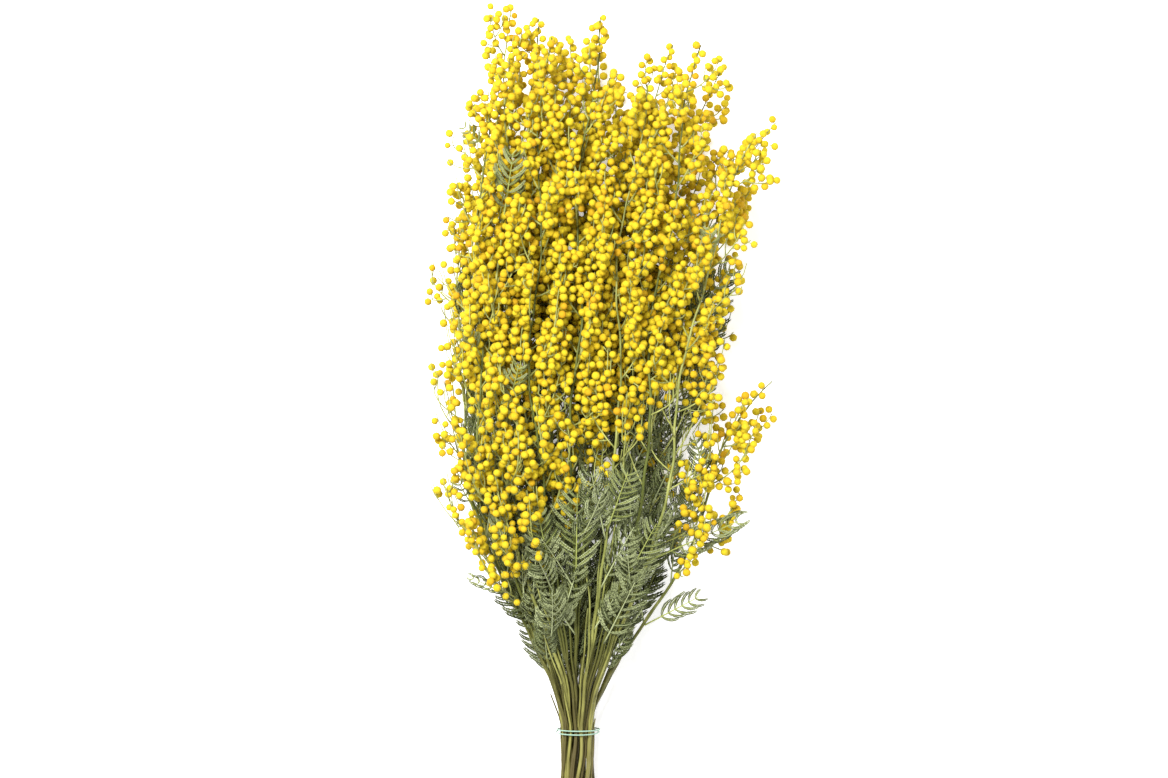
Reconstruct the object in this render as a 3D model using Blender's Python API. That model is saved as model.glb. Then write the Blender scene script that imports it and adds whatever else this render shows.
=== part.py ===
"""A tied bunch of cut mimosa, lying on its back on a flat surface.

Twenty-three sprigs lie side by side. Each one has a bare green stem that runs from its cut end through an
elastic band and fans out, and above it a flowering spray: a rachis with short racemes of round yellow flower
heads. Feathery grey-green leaves grow from the stems. +Y runs from the cut ends to the tips, +Z is up, and
the origin is under the middle of the bunch, on the surface. Units are metres.
"""

import math

import bpy
import numpy as np

# Overall size
CUT_Y = -0.370
HALF_WIDTH = 0.159

# The bundle at the elastic band
BAND_Y = -0.284
BUNDLE_X = -0.0275
BUNDLE_Z = 0.0208
SLOT_RADIUS = 0.0156
SLOT_SPACING = 0.0053
TAIL_TWIST = math.radians(38)
TAIL_SPREAD = 0.06
SHOULDER_Y = -0.060
LEAN_POWER = 2.5
FAN_REACH = 0.150
RISE_REACH = 0.170

# Stems
STEM_SIDES = 5
STEM_RINGS = 4
STEM_CUT_R = 0.0022
STEM_TOP_R = 0.0014
JOINT_GAP = 0.0004

# Flowering sprays
HEAD_R = 0.0036
HEAD_PITCH = 0.0082
HEAD_SIDES = 4
NECK_R = 0.0007
HEAD_SWAY = 0.0021
CORE_R = 0.0125
CORE_CLEARANCE = 0.0062
CORE_RIPPLE = 0.26
CORE_SIDES = 6
CORE_PITCH = 0.030
TIP_RUN = 0.040
SPRAY_REACH = 0.031
HEAD_ROOM = HEAD_R + 0.0006
FLOOR_ROOM = 0.0013
RACEME_PITCH = 0.072
RACEME_FIRST = 0.022
GOLDEN_TURN = math.radians(137.5)

# Flower heads that bear on the surface, and their flat undersides
REST_FLAT_R = 0.0019
REST_RUNS = (0.28, 0.64)

# Leaves
BLADE_THICK = 0.0008
RIB_HALF = 0.0009
PINNA_WIDTH = 0.0036
PINNA_LEAN = math.radians(52)
LEAF_ROOM = HEAD_R + 0.0016

# The elastic band
BAND_STRAND_R = 0.0006
BAND_TURNS = 2
BAND_POINTS = 40
BAND_SIDES = 5
BAND_SPLIT = 0.0012
BAND_LIFT = 0.00068

# Every sprig: where it stands at the shoulder of the bunch (x), where its tip ends (x, y), the height of its
# body and of its tip, and where flowering begins. The rows run left to right, from the layer that faces up to
# the layer that lies on the surface.
SPRIGS = (
    (-0.108, -0.110, 0.276, 0.110, 0.094, -0.124),
    (-0.090, -0.086, 0.370, 0.112, 0.080, -0.108),
    (-0.062, -0.054, 0.342, 0.116, 0.098, -0.094),
    (-0.031, -0.008, 0.362, 0.112, 0.080, -0.040),
    (0.002, 0.034, 0.298, 0.116, 0.100, -0.028),
    (0.031, 0.086, 0.336, 0.112, 0.084, -0.060),
    (0.054, 0.136, 0.256, 0.112, 0.098, -0.096),
    (-0.126, -0.148, 0.032, 0.086, 0.078, -0.124),
    (-0.124, -0.130, 0.196, 0.058, 0.054, -0.104),
    (-0.104, -0.104, 0.296, 0.068, 0.058, -0.104),
    (-0.076, -0.066, 0.362, 0.072, 0.054, -0.092),
    (-0.047, -0.032, 0.346, 0.070, 0.056, -0.072),
    (-0.017, 0.010, 0.290, 0.072, 0.062, -0.034),
    (0.013, 0.056, 0.338, 0.070, 0.054, -0.036),
    (0.043, 0.153, 0.270, 0.066, 0.056, -0.080),
    (0.094, 0.143, 0.034, 0.084, 0.078, -0.126),
    (-0.118, -0.122, 0.150, 0.024, 0.020, -0.084),
    (-0.092, -0.090, 0.262, 0.022, 0.016, -0.074),
    (-0.061, -0.050, 0.318, 0.024, 0.016, -0.054),
    (-0.029, -0.004, 0.330, 0.024, 0.016, -0.030),
    (0.001, 0.040, 0.290, 0.024, 0.016, -0.024),
    (0.029, 0.102, 0.322, 0.024, 0.016, -0.040),
    (0.056, 0.134, 0.214, 0.026, 0.018, -0.064),
)

# Every leaf: the sprig it grows on and where along it (y), the side it leaves on (degrees round the stem, 0
# to the right and 90 up), its heading (degrees from +Y towards +X), its climb (degrees), its length, the
# length of its petiole, how many pairs of pinnae it has and how far it arches up.
LEAVES = (
    (3, -0.146, 88, 1, 23, 0.090, 0.012, 7, 0.012),
    (4, -0.100, 85, 19, 34, 0.072, 0.010, 5, 0.010),
    (5, -0.152, 85, 28, 25, 0.076, 0.010, 5, 0.008),
    (2, -0.140, 95, -12, 26, 0.066, 0.010, 5, 0.010),
    (6, -0.126, 20, 66, 2, 0.088, 0.016, 6, 0.010),
    (15, -0.186, 10, 62, 6, 0.056, 0.014, 4, 0.008),
    (7, -0.158, 170, -64, 14, 0.040, 0.008, 4, 0.016),
    (7, -0.080, 165, -30, 10, 0.034, 0.006, 3, 0.008),
    (0, 0.056, 150, -30, 22, 0.032, 0.008, 3, 0.006),
    (1, 0.010, 90, 14, 34, 0.048, 0.012, 3, 0.004),
    (1, 0.176, 88, 9, 24, 0.068, 0.012, 5, 0.004),
    (9, 0.244, 140, -46, 20, 0.032, 0.008, 3, 0.006),
    (6, 0.142, 85, -6, 40, 0.040, 0.012, 3, 0.004),
)


def clear_scene():
    for obj in list(bpy.data.objects):
        bpy.data.objects.remove(obj)


def material(name, colour, roughness):
    made = bpy.data.materials.new(name)
    made.use_nodes = True
    shader = made.node_tree.nodes["Principled BSDF"]
    shader.inputs["Base Color"].default_value = (*colour, 1.0)
    shader.inputs["Roughness"].default_value = roughness
    shader.inputs["Metallic"].default_value = 0.0
    return made


def fan_share(run, reach):
    """The share of its sideways travel a stem has made this far above the band, nearly 1 at two reaches."""
    return 1.0 - np.exp(-((np.maximum(run, 0.0) / reach) ** 1.8))


def band_slots():
    """Each stem's place in the bundle: its sprig's place in the fan, pressed into a disc and pushed apart."""
    tips = np.array([sprig[0] for sprig in SPRIGS])
    heights = np.array([sprig[3] for sprig in SPRIGS])
    slots = np.stack([tips / HALF_WIDTH, (heights - heights.mean()) / 0.052], axis=1)
    slots *= SLOT_RADIUS / np.maximum(1.0, np.linalg.norm(slots, axis=1, keepdims=True)) * 0.9
    for _ in range(400):
        apart = slots[:, None] - slots[None]
        distance = np.linalg.norm(apart, axis=2) + np.eye(len(slots))
        push = np.clip(SLOT_SPACING - distance, 0.0, None) * (1.0 - np.eye(len(slots)))
        slots = slots + 0.45 * (apart / distance[..., None] * push[..., None]).sum(axis=1)
        size = np.linalg.norm(slots, axis=1, keepdims=True)
        slots = slots * np.minimum(1.0, SLOT_RADIUS / size)
    return slots


SLOTS = band_slots()


def stem_line(index, y):
    """Points (n, 3) on a sprig's middle line: twisted below the band, fanned out to its tip above it."""
    y = np.atleast_1d(np.asarray(y, float))
    shoulder_x, tip_x, tip_y, body_z, tip_z, _ = SPRIGS[index]
    slot_x, slot_z = SLOTS[index]
    tip_run = tip_y - BAND_Y
    run = y - BAND_Y
    spread_x = (shoulder_x - BUNDLE_X - slot_x) / fan_share(SHOULDER_Y - BAND_Y, FAN_REACH)
    lean_x = tip_x - BUNDLE_X - slot_x - spread_x * fan_share(tip_run, FAN_REACH)
    lean = np.clip((y - SHOULDER_Y) / (tip_y - SHOULDER_Y), 0.0, None) ** LEAN_POWER
    rise = fan_share(run, RISE_REACH)
    below = np.clip(-run / (BAND_Y - CUT_Y), 0.0, 1.0)
    turn = TAIL_TWIST * below * below * (2.0 - below)
    spread = 1.0 + TAIL_SPREAD * below
    bundle_x = BUNDLE_X + spread * (slot_x * np.cos(turn) - slot_z * np.sin(turn))
    bundle_z = BUNDLE_Z + below * 0.001 + spread * (slot_x * np.sin(turn) + slot_z * np.cos(turn))
    droop = (tip_z - body_z) * np.clip(run / tip_run, 0.0, 1.2) ** 3
    sway = 0.004 * np.sin(run * 17.0 + index * 2.4) * np.clip(run / 0.2, 0.0, 1.0) ** 2
    sway *= 1.0 - np.clip(run / tip_run, 0.0, 1.0)
    x = bundle_x + spread_x * fan_share(run, FAN_REACH) + lean_x * lean + sway
    z = bundle_z + (body_z - BUNDLE_Z - slot_z) * rise + droop
    return np.stack([x, y, z], axis=1)


def along(points):
    """Unit directions of a line at each of its points."""
    slope = np.gradient(points, axis=0)
    return slope / np.linalg.norm(slope, axis=1, keepdims=True)


def side_vectors(direction):
    """Two unit vectors square to a direction: the first to the right and level, the second up."""
    right = np.cross(direction, (0.0, 0.0, 1.0) if abs(direction[2]) < 0.99 else (0.0, 1.0, 0.0))
    right /= np.linalg.norm(right)
    return right, np.cross(right, direction)


def tube(points, radii, sides, closed=False, ripple=0.0):
    """A closed tube: rings of corners square to the line, joined by quads, with flat caps or its ends joined.

    With a ripple, every other corner of an inner ring lies nearer the line by that share, in a chequer.
    """
    points = np.asarray(points, float)
    radii = np.broadcast_to(radii, len(points))
    if closed:
        slope = np.roll(points, -1, axis=0) - np.roll(points, 1, axis=0)
        directions = slope / np.linalg.norm(slope, axis=1, keepdims=True)
    else:
        directions = along(points)
    vertices = []
    normal = side_vectors(directions[0])[0]
    for ring, (point, direction, radius) in enumerate(zip(points, directions, radii)):
        normal = normal - direction * np.dot(normal, direction)
        normal /= np.linalg.norm(normal)
        other = np.cross(direction, normal)
        for corner in range(sides):
            turn = 2.0 * math.pi * corner / sides
            sunk = ripple if 0 < ring < len(points) - 1 and (ring + corner) % 2 else 0.0
            reach = radius * (1.0 - sunk)
            vertices.append(point + reach * (math.cos(turn) * normal + math.sin(turn) * other))
    faces = []
    rings = len(points)
    for ring in range(rings if closed else rings - 1):
        after = (ring + 1) % rings
        for corner in range(sides):
            beside = (corner + 1) % sides
            near, far = ring * sides, after * sides
            faces.append((near + corner, near + beside, far + beside, far + corner))
    if not closed:
        faces.append(tuple(reversed(range(sides))))
        faces.append(tuple(range((rings - 1) * sides, rings * sides)))
    return vertices, faces


def add_object(name, shape, finish):
    vertices, faces = shape
    mesh = bpy.data.meshes.new(name)
    mesh.from_pydata([tuple(map(float, vertex)) for vertex in vertices], [], faces)
    mesh.materials.append(finish)
    mesh.shade_smooth()
    mesh.set_sharp_from_angle(angle=math.radians(50))
    obj = bpy.data.objects.new(name, mesh)
    bpy.context.scene.collection.objects.link(obj)
    return obj


def fuse(body, pieces):
    """Joins pieces to body with one Boolean union, applies it, and removes the pieces."""
    group = bpy.data.collections.new(body.name + "_pieces")
    for piece in pieces:
        bpy.context.scene.collection.objects.unlink(piece)
        group.objects.link(piece)
    bpy.context.scene.collection.children.link(group)
    union = body.modifiers.new("union", "BOOLEAN")
    union.operation = "UNION"
    union.operand_type = "COLLECTION"
    union.collection = group
    union.solver = "MANIFOLD"
    bpy.context.view_layer.update()
    joined = bpy.data.meshes.new_from_object(body.evaluated_get(bpy.context.evaluated_depsgraph_get()))
    body.modifiers.clear()
    body.data = joined
    for piece in pieces:
        bpy.data.objects.remove(piece)
    bpy.data.collections.remove(group)
    return body


def gap_to_others(index, y):
    """At each y, the vectors (x, z) from a sprig to every other one, inf for those that end below it."""
    flat = [0, 2]
    own = stem_line(index, y)[:, flat]
    gaps = []
    for other, sprig in enumerate(SPRIGS):
        if other != index:
            beside = (y < sprig[2] + 0.008)[:, None]
            gaps.append(np.where(beside, stem_line(other, y)[:, flat] - own, np.inf))
    return np.array(gaps)


def core_radius(index, y):
    """The core of a spray: it swells from the rachis, is lumpy, thins to the tip and clears the others."""
    _, _, tip_y, _, _, base_y = SPRIGS[index]
    y = np.atleast_1d(y)
    share = np.clip((y - base_y) / (tip_y - TIP_RUN - base_y), 0.0, 1.0)
    swell = np.clip(share / 0.12, 0.0, 1.0) * np.clip((1.0 - share) / 0.30, 0.0, 1.0) ** 0.6
    lumps = 0.84 + 0.16 * np.sin(y * 61.0 + index * 1.9)
    widest = np.linalg.norm(gap_to_others(index, y), axis=2).min(axis=0) / 2.0 - CORE_CLEARANCE
    return STEM_TOP_R + np.clip(np.minimum(CORE_R, widest) - STEM_TOP_R, 0.0, None) * swell * lumps


def keep_clear(index, points, room):
    """Bends points towards their own sprig where they cross the plane midway to another, or the surface."""
    flat = [0, 2]
    own = stem_line(index, points[:, 1])[:, flat]
    away = points[:, flat] - own
    away *= np.minimum(1.0, SPRAY_REACH / np.maximum(np.linalg.norm(away, axis=1), 1e-9))[:, None]
    for _ in range(3):
        for gap in gap_to_others(index, points[:, 1]):
            width = np.linalg.norm(gap, axis=1, keepdims=True)
            towards = np.where(np.isfinite(gap), gap, 0.0) / np.where(np.isfinite(width), width, 1.0)
            over = (away * towards).sum(axis=1, keepdims=True) - (width / 2.0 - room)
            away = away - np.maximum(over, 0.0) * towards
    kept = np.array(points)
    kept[:, flat] = own + away
    kept[:, 0] = np.clip(kept[:, 0], HEAD_R - HALF_WIDTH, HALF_WIDTH - HEAD_R)
    kept[:, 2] = np.maximum(kept[:, 2], HEAD_R + FLOOR_ROOM)
    return kept


def respaced(points, start, pitch):
    """Points evenly along a line of points, about a pitch apart, from start to the line's end."""
    steps = np.linalg.norm(np.diff(points, axis=0), axis=1)
    length = np.concatenate([[0.0], np.cumsum(steps)])
    at = np.linspace(start, length[-1], max(1, round((length[-1] - start) / pitch)) + 1)
    return np.stack([np.interp(at, length, points[:, axis]) for axis in range(3)], axis=1)


def head_chain(root, heads, sway):
    """A raceme: a thin stalk that swells into one flower head after another, swayed side to side."""
    swayed = heads + sway * ((-1.0) ** np.arange(len(heads)))[:, None]
    points = [root]
    radii = [NECK_R * 1.6]
    before = root
    for head, after in zip(swayed, [*swayed[1:], None]):
        towards = head - before
        towards /= np.linalg.norm(towards)
        if len(points) == 1:
            points.append(head - towards * HEAD_R)
            radii.append(NECK_R)
        points.append(head)
        radii.append(HEAD_R)
        end = head + towards * HEAD_R if after is None else (head + after) / 2.0
        points.append(end)
        radii.append(NECK_R)
        before = head
    return tube(points, radii, HEAD_SIDES)


def raceme_path(index, y, turn, length):
    """A raceme's line: it leaves the sprig steeply, to the side given by turn, and bends up along it."""
    ends = stem_line(index, [y, y + 0.004])
    direction = ends[1] - ends[0]
    direction /= np.linalg.norm(direction)
    right, up = side_vectors(direction)
    outward = math.cos(turn) * right + math.sin(turn) * up
    step = length / 24.0
    point = ends[0]
    points = [point]
    for count in range(24):
        lean = math.radians(62.0 - 44.0 * count / 24.0)
        point = point + step * (math.cos(lean) * direction + math.sin(lean) * outward)
        points.append(point)
    return np.array(points), np.cross(direction, outward)


def spray(index, leaf_points, finish):
    """One flowering spray: a slim core along the sprig's line, racemes all round it, and one at the tip."""
    _, _, tip_y, body_z, _, base_y = SPRIGS[index]
    draw = np.random.default_rng(100 + index)
    name = f"spray_{index + 1:02d}"
    core_top = tip_y - TIP_RUN
    rings = max(6, round((core_top - base_y) / CORE_PITCH))
    share = np.linspace(0.0, 1.0, rings + 1)
    levels = base_y + JOINT_GAP + (core_top - base_y - JOINT_GAP) * share
    levels = np.insert(levels, 1, base_y + 0.010)
    body = tube(stem_line(index, levels), core_radius(index, levels), CORE_SIDES, ripple=CORE_RIPPLE)
    core = add_object(name, body, finish)
    pieces = []

    tip_line = stem_line(index, np.linspace(core_top - 0.012, tip_y, 30))
    tip_heads = respaced(tip_line, 0.018, HEAD_PITCH)
    right = side_vectors(tip_line[-1] - tip_line[-2])[0]
    pieces.append(add_object(name + "_tip", head_chain(tip_line[0], tip_heads, right * HEAD_SWAY), finish))

    turn = draw.uniform(0.0, 2.0 * math.pi)
    y = base_y + RACEME_FIRST
    while y < core_top - 0.010:
        share = (y - base_y) / (core_top - base_y)
        length = 0.041 - 0.009 * share + draw.uniform(-0.004, 0.004)
        path, across = raceme_path(index, y, turn, length)
        heads = respaced(keep_clear(index, path, HEAD_ROOM), 0.0155, HEAD_PITCH)
        crossing = [np.linalg.norm(heads - leaf, axis=1).min() < LEAF_ROOM for leaf in leaf_points]
        if not any(crossing):
            chain = head_chain(path[0], heads, across * HEAD_SWAY * 0.6)
            pieces.append(add_object(f"{name}_raceme_{len(pieces)}", chain, finish))
        turn += GOLDEN_TURN
        y += RACEME_PITCH * (1.05 - 0.25 * share)

    if body_z < 0.03:
        pieces.append(resting_head(index, base_y + REST_RUNS[index % 2] * (tip_y - base_y), finish))
    return fuse(core, pieces)


def resting_head(index, y, finish):
    """A flower head under the lowest sprigs, pressed a little flat where it bears on the surface."""
    top = stem_line(index, y)[0]
    levels = np.array([top[2], HEAD_R * 2.0, HEAD_R, 0.0])
    points = np.stack([np.full(4, top[0]), np.full(4, top[1]), levels], axis=1)
    body = tube(points, (NECK_R * 1.6, NECK_R, HEAD_R, REST_FLAT_R), 5)
    return add_object(f"rest_{index}", body, finish)


def stem(index, finish):
    """A bare stem from its cut end to the foot of its spray, thinner as it rises."""
    base_y = SPRIGS[index][5]
    low = [CUT_Y, BAND_Y - 0.045, BAND_Y - 0.004, BAND_Y + 0.006]
    levels = np.concatenate([low, np.linspace(BAND_Y + 0.036, base_y, STEM_RINGS)])
    radii = STEM_CUT_R + (STEM_TOP_R - STEM_CUT_R) * (levels - CUT_Y) / (base_y - CUT_Y)
    return add_object(f"stem_{index + 1:02d}", tube(stem_line(index, levels), radii, STEM_SIDES), finish)


def leaf_shape(index, y, side, heading, climb, length, petiole, pairs, arch):
    """A leaf as one thin arched blade cut to its ribs: a petiole, pairs of slim pinnae and an end pinna."""
    ends = stem_line(index, [y, y + 0.004])
    direction = (ends[1] - ends[0]) / np.linalg.norm(ends[1] - ends[0])
    right, up = side_vectors(direction)
    outward = math.cos(math.radians(side)) * right + math.sin(math.radians(side)) * up
    thick = core_radius(index, y)[0] if y > SPRIGS[index][5] else STEM_CUT_R
    foot = ends[0] + outward * (thick + JOINT_GAP + BLADE_THICK / 2.0)
    turn, rise = math.radians(heading), math.radians(climb)
    forward = np.array([math.sin(turn) * math.cos(rise), math.cos(turn) * math.cos(rise), math.sin(rise)])
    across = np.array([math.cos(turn), -math.sin(turn), 0.0])
    lift = np.cross(across, forward)
    pitch = (length - petiole) / (pairs + 1.0)
    flat = []
    faces = []

    def corner(run, off):
        flat.append((run, off))
        return len(flat) - 1

    left, right = corner(0.0, -RIB_HALF), corner(0.0, RIB_HALF)
    for pair in range(pairs):
        middle = petiole + pitch * (pair + 0.5)
        reach = 0.31 * length * math.sin(math.pi * (0.24 + 0.62 * (pair + 0.5) / pairs))
        low, high = middle - PINNA_WIDTH / 2.0, middle + PINNA_WIDTH / 2.0
        near = (corner(low, -RIB_HALF), corner(low, RIB_HALF))
        far = (corner(high, -RIB_HALF), corner(high, RIB_HALF))
        faces += [(left, right, near[1], near[0]), (near[0], near[1], far[1], far[0])]
        for hand, start, end in ((-1.0, near[0], far[0]), (1.0, near[1], far[1])):
            ahead, aside = math.cos(PINNA_LEAN) * reach, math.sin(PINNA_LEAN) * reach
            tip_low = corner(low + 0.3 * PINNA_WIDTH + ahead, hand * (RIB_HALF + aside))
            tip_high = corner(high - 0.3 * PINNA_WIDTH + ahead, hand * (RIB_HALF + aside))
            blade = (start, end, tip_high, tip_low)
            faces.append(blade[::-1] if hand > 0 else blade)
        left, right = far
    tip = corner(length, 0.0)
    faces.append((left, right, tip))
    spots = []
    for run, off in flat:
        share = run / length
        height = arch * share * (1.6 - share) - 9.0 * off * off
        spots.append(foot + forward * run + across * off + lift * height)
    count = len(spots)
    vertices = [spot + lift * BLADE_THICK / 2.0 for spot in spots]
    vertices += [spot - lift * BLADE_THICK / 2.0 for spot in spots]
    solid = []
    borders = {}
    for face in faces:
        triangles = [face] if len(face) == 3 else [(face[0], face[1], face[2]), (face[0], face[2], face[3])]
        for a, b, c in triangles:
            solid.append((a, b, c))
            solid.append((c + count, b + count, a + count))
            for start, end in ((a, b), (b, c), (c, a)):
                borders[(start, end)] = True
    for start, end in borders:
        if (end, start) not in borders:
            solid.append((end, start, start + count, end + count))
    return vertices, solid


def band(finish):
    """The elastic band: one closed loop wound twice round the bundle, crossed behind."""
    radius = SLOT_RADIUS + STEM_CUT_R + JOINT_GAP + BAND_STRAND_R + BAND_LIFT
    turns = np.linspace(0.0, 2.0 * math.pi * BAND_TURNS, BAND_POINTS, endpoint=False)
    reach = radius + BAND_LIFT * np.sin(turns / 2.0)
    height = BAND_SPLIT * np.cos(turns / 2.0)
    points = np.stack(
        [BUNDLE_X + reach * np.sin(turns), BAND_Y + height, BUNDLE_Z + reach * np.cos(turns)], axis=1
    )
    return add_object("elastic_band", tube(points, BAND_STRAND_R, BAND_SIDES, closed=True), finish)


def main():
    clear_scene()
    stem_green = material("stem_green", (0.32, 0.36, 0.10), 0.6)
    leaf_green = material("leaf_green", (0.20, 0.27, 0.12), 0.7)
    head_yellow = material("head_yellow", (0.85, 0.62, 0.02), 0.8)
    band_green = material("band_green", (0.45, 0.62, 0.48), 0.45)
    leaf_points = []
    for count, leaf in enumerate(LEAVES):
        shape = leaf_shape(*leaf)
        corners = np.array(shape[0])
        leaf_points += [corners, *(corners[list(face)].mean(axis=0, keepdims=True) for face in shape[1])]
        add_object(f"leaf_{count + 1:02d}", shape, leaf_green)
    samples = np.concatenate(leaf_points)
    for index in range(len(SPRIGS)):
        stem(index, stem_green)
        spray(index, samples, head_yellow)
    band(band_green)


main()
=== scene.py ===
"""A tied bunch of cut mimosa lying on a pale studio floor, seen from straight above.

Everything grows along 23 middle lines. Above the band a stem moves sideways by 1 - exp(-(run / reach) ^ 1.8)
of its fan, where run is the distance above the band, and past the shoulder of the bunch it leans to its own
tip. Small sine waves make it uneven, and thin shoots rise beside it. Leaves grow from the stems: a leaf's rib
rises from its foot by arch * share * (1.6 - share), where share is the part of its length, and its pinnae
curve out from the rib on both sides. From each line grow side branches a golden turn (137.5 degrees) apart,
on each branch short racemes, and on each raceme round flower heads on thin stalks. A branch or raceme is bent
back where it would pass far into a neighbour's room, halfway between the two middle lines, or out of the
bunch's outline. A flower head is left out where it is too near another one or a leaf, where it would hide a
front stem, and by lot where the bunch is more open.
Metres, +Y from the cut ends to the tips, +Z up.
"""

import bpy
import numpy as np
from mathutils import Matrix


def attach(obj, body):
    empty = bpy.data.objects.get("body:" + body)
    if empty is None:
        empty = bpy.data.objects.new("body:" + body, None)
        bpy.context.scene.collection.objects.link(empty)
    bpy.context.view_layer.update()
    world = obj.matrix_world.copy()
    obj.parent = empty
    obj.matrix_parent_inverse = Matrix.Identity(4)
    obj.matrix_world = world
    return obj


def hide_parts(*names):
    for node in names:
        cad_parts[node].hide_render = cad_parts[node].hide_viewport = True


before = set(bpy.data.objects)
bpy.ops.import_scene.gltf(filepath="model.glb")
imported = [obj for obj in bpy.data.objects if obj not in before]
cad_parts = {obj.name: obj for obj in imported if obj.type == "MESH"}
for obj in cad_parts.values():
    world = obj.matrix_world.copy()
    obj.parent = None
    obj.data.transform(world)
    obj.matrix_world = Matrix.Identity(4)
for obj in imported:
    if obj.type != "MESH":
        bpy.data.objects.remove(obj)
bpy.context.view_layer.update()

# Stems. Olive-green, slightly ribbed wood, brown towards the cut ends, held side by side in the band. Each
# one fans out above it and grows on, thinner and less straight, as the middle of its flowering spray. Thin
# shoots of the same wood rise beside it.

CUT_Y, BAND_Y, SHOULDER_Y = -0.370, -0.284, -0.060
BUNDLE_X, BUNDLE_Z = -0.0275, 0.0208
SLOT_RADIUS, SLOT_SPACING, RIGHT_LOOSENESS = 0.0156, 0.0053, 0.15
TAIL_TWIST, TAIL_SPREAD, TAIL_RISE = np.radians(38.0), 0.06, 0.001
FAN_REACH, RISE_REACH, FAN_POWER = 0.150, 0.170, 1.8
HALF_WIDTH, HALF_DEPTH, LEAN_POWER = 0.159, 0.052, 2.5
SWAY, SWAY_RUN = 0.004, 0.2
STEM_WAVE, STEM_WAVE_RUN = 0.0009, 0.06
SPRAY_WAVE, SPRAY_WAVE_RUN = 0.0034, 0.09
RIPPLE = 0.0005
STEM_SEED = 200
STEM_CUT_R, STEM_TOP_R, STEM_TIP_R = 0.0017, 0.0011, 0.0005
STEM_SIDES, RIB_HEIGHT, TAIL_NODES, STEM_NODES = 10, 0.08, 16, 110
KNOTS, KNOT_SWELL, KNOT_LENGTH, KNOT_FREE_RUN = 20, 0.18, 0.004, 0.03
SHOOTS, SHOOT_NODES, SHOOT_SIDES = 4, 16, 5
SHOOT_FOOT_R, SHOOT_TIP_R, SHOOT_APART, SHOOT_APART_SHARE = 0.0012, 0.0007, 0.0026, 0.15
SHOOT_ROOM, SHOOT_SPLAY, SHOOT_SPLAY_Y, SHOOT_LOWEST_Z = 0.0166, 0.4, -0.276, 0.002
OLD_WOOD_DARK, OLD_WOOD_PALE = (0.080, 0.062, 0.016), (0.290, 0.275, 0.068)
GREEN_WOOD_DARK, GREEN_WOOD_PALE = (0.100, 0.118, 0.020), (0.400, 0.415, 0.120)

# Shoulder x, tip x, tip y, height of the body, height of the tip, and where flowering begins, for every
# sprig: seven in front, nine in the middle and seven behind.
SPRIGS = np.array(
    (
        (-0.108, -0.110, 0.276, 0.110, 0.094, -0.124),
        (-0.090, -0.086, 0.370, 0.112, 0.080, -0.108),
        (-0.062, -0.054, 0.342, 0.116, 0.098, -0.094),
        (-0.031, -0.008, 0.362, 0.112, 0.080, -0.040),
        (0.002, 0.034, 0.298, 0.116, 0.100, -0.028),
        (0.031, 0.086, 0.336, 0.112, 0.084, -0.060),
        (0.054, 0.136, 0.256, 0.112, 0.098, -0.096),
        (-0.126, -0.148, 0.032, 0.086, 0.078, -0.124),
        (-0.124, -0.130, 0.196, 0.058, 0.054, -0.104),
        (-0.104, -0.104, 0.296, 0.068, 0.058, -0.104),
        (-0.076, -0.066, 0.362, 0.072, 0.054, -0.092),
        (-0.047, -0.032, 0.346, 0.070, 0.056, -0.072),
        (-0.017, 0.010, 0.290, 0.072, 0.062, -0.034),
        (0.013, 0.056, 0.338, 0.070, 0.054, -0.036),
        (0.043, 0.153, 0.270, 0.066, 0.056, -0.080),
        (0.094, 0.143, 0.034, 0.084, 0.078, -0.126),
        (-0.118, -0.122, 0.150, 0.024, 0.020, -0.084),
        (-0.092, -0.090, 0.262, 0.022, 0.016, -0.074),
        (-0.061, -0.050, 0.318, 0.024, 0.016, -0.054),
        (-0.029, -0.004, 0.330, 0.024, 0.016, -0.030),
        (0.001, 0.040, 0.290, 0.024, 0.016, -0.024),
        (0.029, 0.102, 0.322, 0.024, 0.016, -0.040),
        (0.056, 0.134, 0.214, 0.026, 0.018, -0.064),
    )
)

# A stem's slot in the band is first where its sprig is in the bunch. Slots that are too near each other are
# then moved apart, each time by almost half of what is missing, and kept inside the band. At last they are
# spread a little to the right.
slots = np.stack([SPRIGS[:, 0] / HALF_WIDTH, (SPRIGS[:, 3] - SPRIGS[:, 3].mean()) / HALF_DEPTH], axis=1)
slots *= SLOT_RADIUS / np.maximum(1.0, np.linalg.norm(slots, axis=1, keepdims=True)) * 0.9
for _ in range(400):
    apart = slots[:, None] - slots[None]
    distance = np.linalg.norm(apart, axis=2) + np.eye(len(slots))
    push = np.clip(SLOT_SPACING - distance, 0.0, None) * (1.0 - np.eye(len(slots)))
    slots = slots + 0.45 * (apart / distance[..., None] * push[..., None]).sum(axis=1)
    slots = slots * np.minimum(1.0, SLOT_RADIUS / np.linalg.norm(slots, axis=1, keepdims=True))
slots[:, 0] += RIGHT_LOOSENESS * (slots[:, 0] - slots[:, 0].min())


def fan_share(run, reach):
    """How much of its travel a stem has made at run above the band: 1 - exp(-(run / reach) ^ 1.8)."""
    return 1.0 - np.exp(-((np.maximum(run, 0.0) / reach) ** FAN_POWER))


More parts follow.
